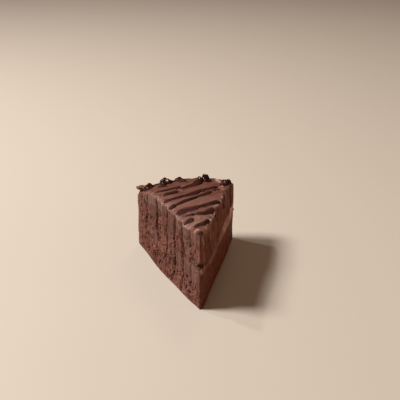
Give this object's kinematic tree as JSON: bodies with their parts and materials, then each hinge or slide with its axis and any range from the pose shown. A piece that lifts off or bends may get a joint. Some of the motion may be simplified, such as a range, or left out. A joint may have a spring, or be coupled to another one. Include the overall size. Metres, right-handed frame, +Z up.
{
  "type": "slice of chocolate cake",
  "caption": "Wedge of chocolate layer cake: sponge with a thin filling, icing over the top and outer side, drizzled sauce lines and blobs.",
  "frame": {"origin": "centre of the bounding box at its underside, where the slice rests", "axes": "+Y from the tip to the outer side, along the slice's middle line; +Z up; the left cut face is at -X, seen from the tip"},
  "size_m": [0.0794, 0.1148, 0.0613],
  "materials": {
    "sponge": "matte, porous chocolate sponge with drag marks of the knife",
    "filling": "satin chocolate cream, smeared in places",
    "icing": "satin chocolate icing, smooth, with dark glossy sauce drizzled on it",
    "sauce": "glossy dark chocolate sauce"
  },
  "bodies": {
    "root": {"sponge_lower": "sponge", "filling": "filling", "sponge_upper": "sponge", "icing": "icing"}
  },
  "joints": []
}
